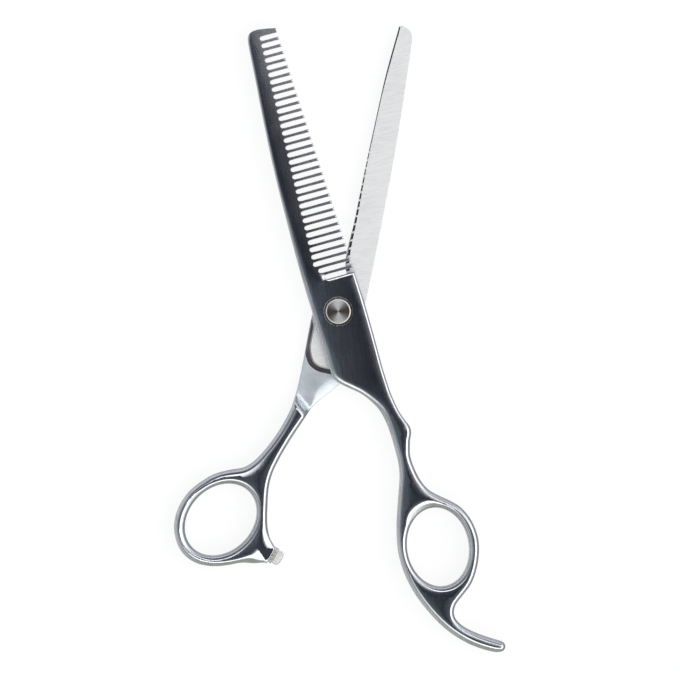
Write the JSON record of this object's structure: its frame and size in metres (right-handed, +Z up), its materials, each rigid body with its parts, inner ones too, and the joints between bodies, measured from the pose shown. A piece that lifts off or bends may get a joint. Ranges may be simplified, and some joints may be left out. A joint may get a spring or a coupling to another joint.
{
  "type": "thinning shears",
  "caption": "Hairdresser's thinning shears: a toothed blade over a plain blade on a tensioned pivot, with finger and thumb rings, a fixed finger rest and a clear stop.",
  "frame": {"origin": "on the pivot axis at the table, at the underside of the tension screw's head", "axes": "+Z is up from the table along the pivot axis, +Y points from the rings to the blade tips, +X points to the finger ring's side"},
  "size_m": [0.096, 0.1814, 0.0059],
  "materials": {
    "polished_steel": "mirror-polished stainless steel",
    "ground_steel": "polished outside, inner face finely ground across its length",
    "turned_steel": "face-turned with fine concentric lines",
    "spring_steel": "dull rolled spring steel",
    "washer_plastic": "smooth white low-friction plastic",
    "clear_plastic": "clear, slightly milky moulded plastic",
    "brass": "plain turned brass"
  },
  "bodies": {
    "comb_half": {"comb_blade": "polished_steel", "finger_handle": "polished_steel", "pivot_post": "turned_steel", "head_washer": "turned_steel", "glide_washer": "washer_plastic"},
    "plain_half": {"plain_blade": "ground_steel", "thumb_handle": "polished_steel", "bumper_cap": "clear_plastic", "bumper_screw": "brass", "flat_washer": "turned_steel", "spring_washer": "spring_steel"},
    "tension_screw": {"tension_screw": "turned_steel"}
  },
  "joints": [
    {"name": "blade_pivot", "type": "hinge", "parent": "comb_half", "child": "plain_half", "pos_m": [0, 0, 0.00295], "axis": [0, 0, 1], "range_deg": [-90, 26.2]},
    {"name": "tension_adjuster", "type": "hinge", "parent": "comb_half", "child": "tension_screw", "pos_m": [0, 0, 0], "axis": [0, 0, 1], "range_deg": [-90, 90]}
  ]
}
